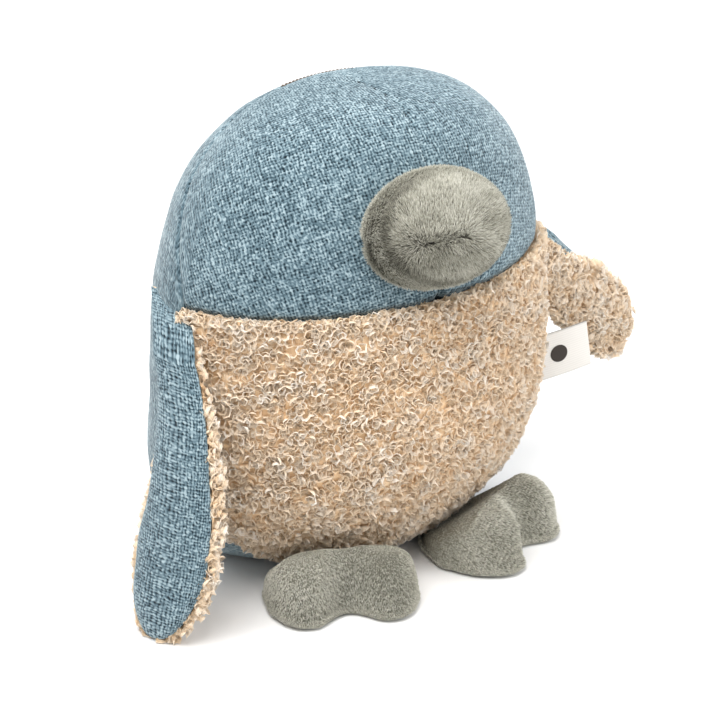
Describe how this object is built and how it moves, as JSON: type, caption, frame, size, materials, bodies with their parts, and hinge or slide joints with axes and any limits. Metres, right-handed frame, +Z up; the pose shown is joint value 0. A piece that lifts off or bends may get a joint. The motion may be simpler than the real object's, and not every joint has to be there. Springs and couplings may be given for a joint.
{
  "type": "plush penguin",
  "caption": "Stuffed woven-fabric penguin with curly bib, soft beak, flapping wings, two-lobed feet, side label and zip closure; stands on its flat base and soles.",
  "frame": {"origin": "on the resting surface under the middle of the body, inside the flat base", "axes": "+Z up, front of the penguin towards -Y, the penguin's left towards +X"},
  "size_m": [0.3129, 0.1613, 0.2099],
  "materials": {
    "weave": "coarse melange basket weave",
    "sherpa": "curly boucle pile",
    "beak_plush": "soft pile",
    "foot_plush": "short velour pile",
    "filling": "loose fibre",
    "label": "satin ribbon",
    "zip_tape": "woven tape",
    "zip_coil": "nylon coil",
    "zip_metal": "satin lacquer"
  },
  "bodies": {
    "torso": {"body_fill": "filling", "front_panel_right": "weave", "front_panel_left": "weave", "back_panel_right": "weave", "back_panel_left": "weave", "under_panel": "weave", "base_panel": "weave", "bib": "sherpa", "beak_fill": "filling", "beak_rim_upper": "beak_plush", "beak_rim_lower": "beak_plush", "beak_front": "beak_plush", "zip_tape": "zip_tape", "zip_coil": "zip_coil"},
    "wing_right": {"wing_fill_right": "filling", "wing_outer_right": "weave", "wing_inner_right": "sherpa"},
    "wing_left": {"wing_fill_left": "filling", "wing_outer_left": "weave", "wing_inner_left": "sherpa"},
    "foot_right": {"foot_fill_right": "filling", "foot_upper_right": "foot_plush", "foot_sole_right": "foot_plush"},
    "foot_left": {"foot_fill_left": "filling", "foot_upper_left": "foot_plush", "foot_sole_left": "foot_plush"},
    "side_label": {"label": "label"},
    "slider": {"zip_slider": "zip_metal"},
    "pull": {"zip_pull": "zip_metal"}
  },
  "joints": [
    {"name": "wing_right_lift", "type": "hinge", "parent": "torso", "child": "wing_right", "pos_m": [-0.10046, -0.01715, 0.116], "axis": [-0.2419, 0.9703, 0], "range_deg": [0, 70]},
    {"name": "wing_left_swing", "type": "hinge", "parent": "torso", "child": "wing_left", "pos_m": [0.10097, -0.00904, 0.106], "axis": [0.5989, 0.1257, 0.7909], "range_deg": [-6, 36]},
    {"name": "foot_right_splay", "type": "hinge", "parent": "torso", "child": "foot_right", "pos_m": [-0.027, -0.021, 0], "axis": [0, 0, 1], "range_deg": [-4, 8]},
    {"name": "foot_left_splay", "type": "hinge", "parent": "torso", "child": "foot_left", "pos_m": [0.03, -0.019, 0], "axis": [0, 0, 1], "range_deg": [-8, 4]},
    {"name": "label_flap", "type": "hinge", "parent": "torso", "child": "side_label", "pos_m": [0.09419, -0.00293, 0.055], "axis": [0, 0, 1], "range_deg": [-50, 4]},
    {"name": "zip_travel", "type": "hinge", "parent": "torso", "child": "slider", "pos_m": [0.01513, -0.00572, 0.13442], "axis": [0, -0.9187, 0.395], "range_deg": [0, 33.2]},
    {"name": "pull_flip", "type": "hinge", "parent": "slider", "child": "pull", "pos_m": [0.07147, 0.01717, 0.18767], "axis": [0, -0.9187, 0.395], "range_deg": [0, 120]}
  ]
}
